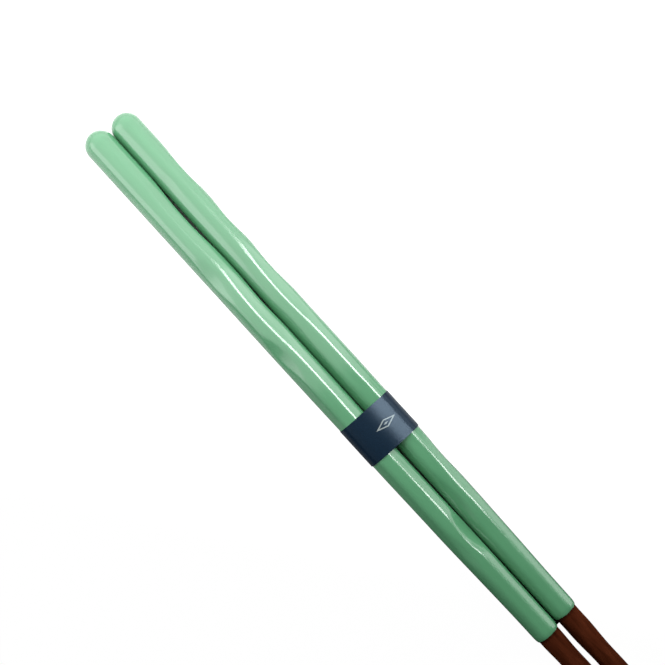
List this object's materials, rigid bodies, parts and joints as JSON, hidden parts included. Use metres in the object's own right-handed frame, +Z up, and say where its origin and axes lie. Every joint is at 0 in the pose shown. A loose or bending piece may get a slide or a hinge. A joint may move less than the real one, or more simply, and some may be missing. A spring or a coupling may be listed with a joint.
{
  "type": "chopsticks",
  "caption": "Pair of lacquered bamboo chopsticks laid side by side, with carved handles, bare tips and a glued paper band round both.",
  "frame": {"origin": "on the surface that the pair lies on, under the middle of the pair's length and width", "axes": "+X along the sticks from the heads to the eating tips, +Y across the pair to the right-hand stick, +Z up"},
  "size_m": [0.2358, 0.0162, 0.0084],
  "materials": {
    "lacquered_bamboo": "gloss lacquer, bare brown bamboo at the tips",
    "band_paper": "satin navy paper"
  },
  "bodies": {
    "root": {"chopstick_left": "lacquered_bamboo", "chopstick_right": "lacquered_bamboo", "paper_band": "band_paper"}
  },
  "joints": []
}
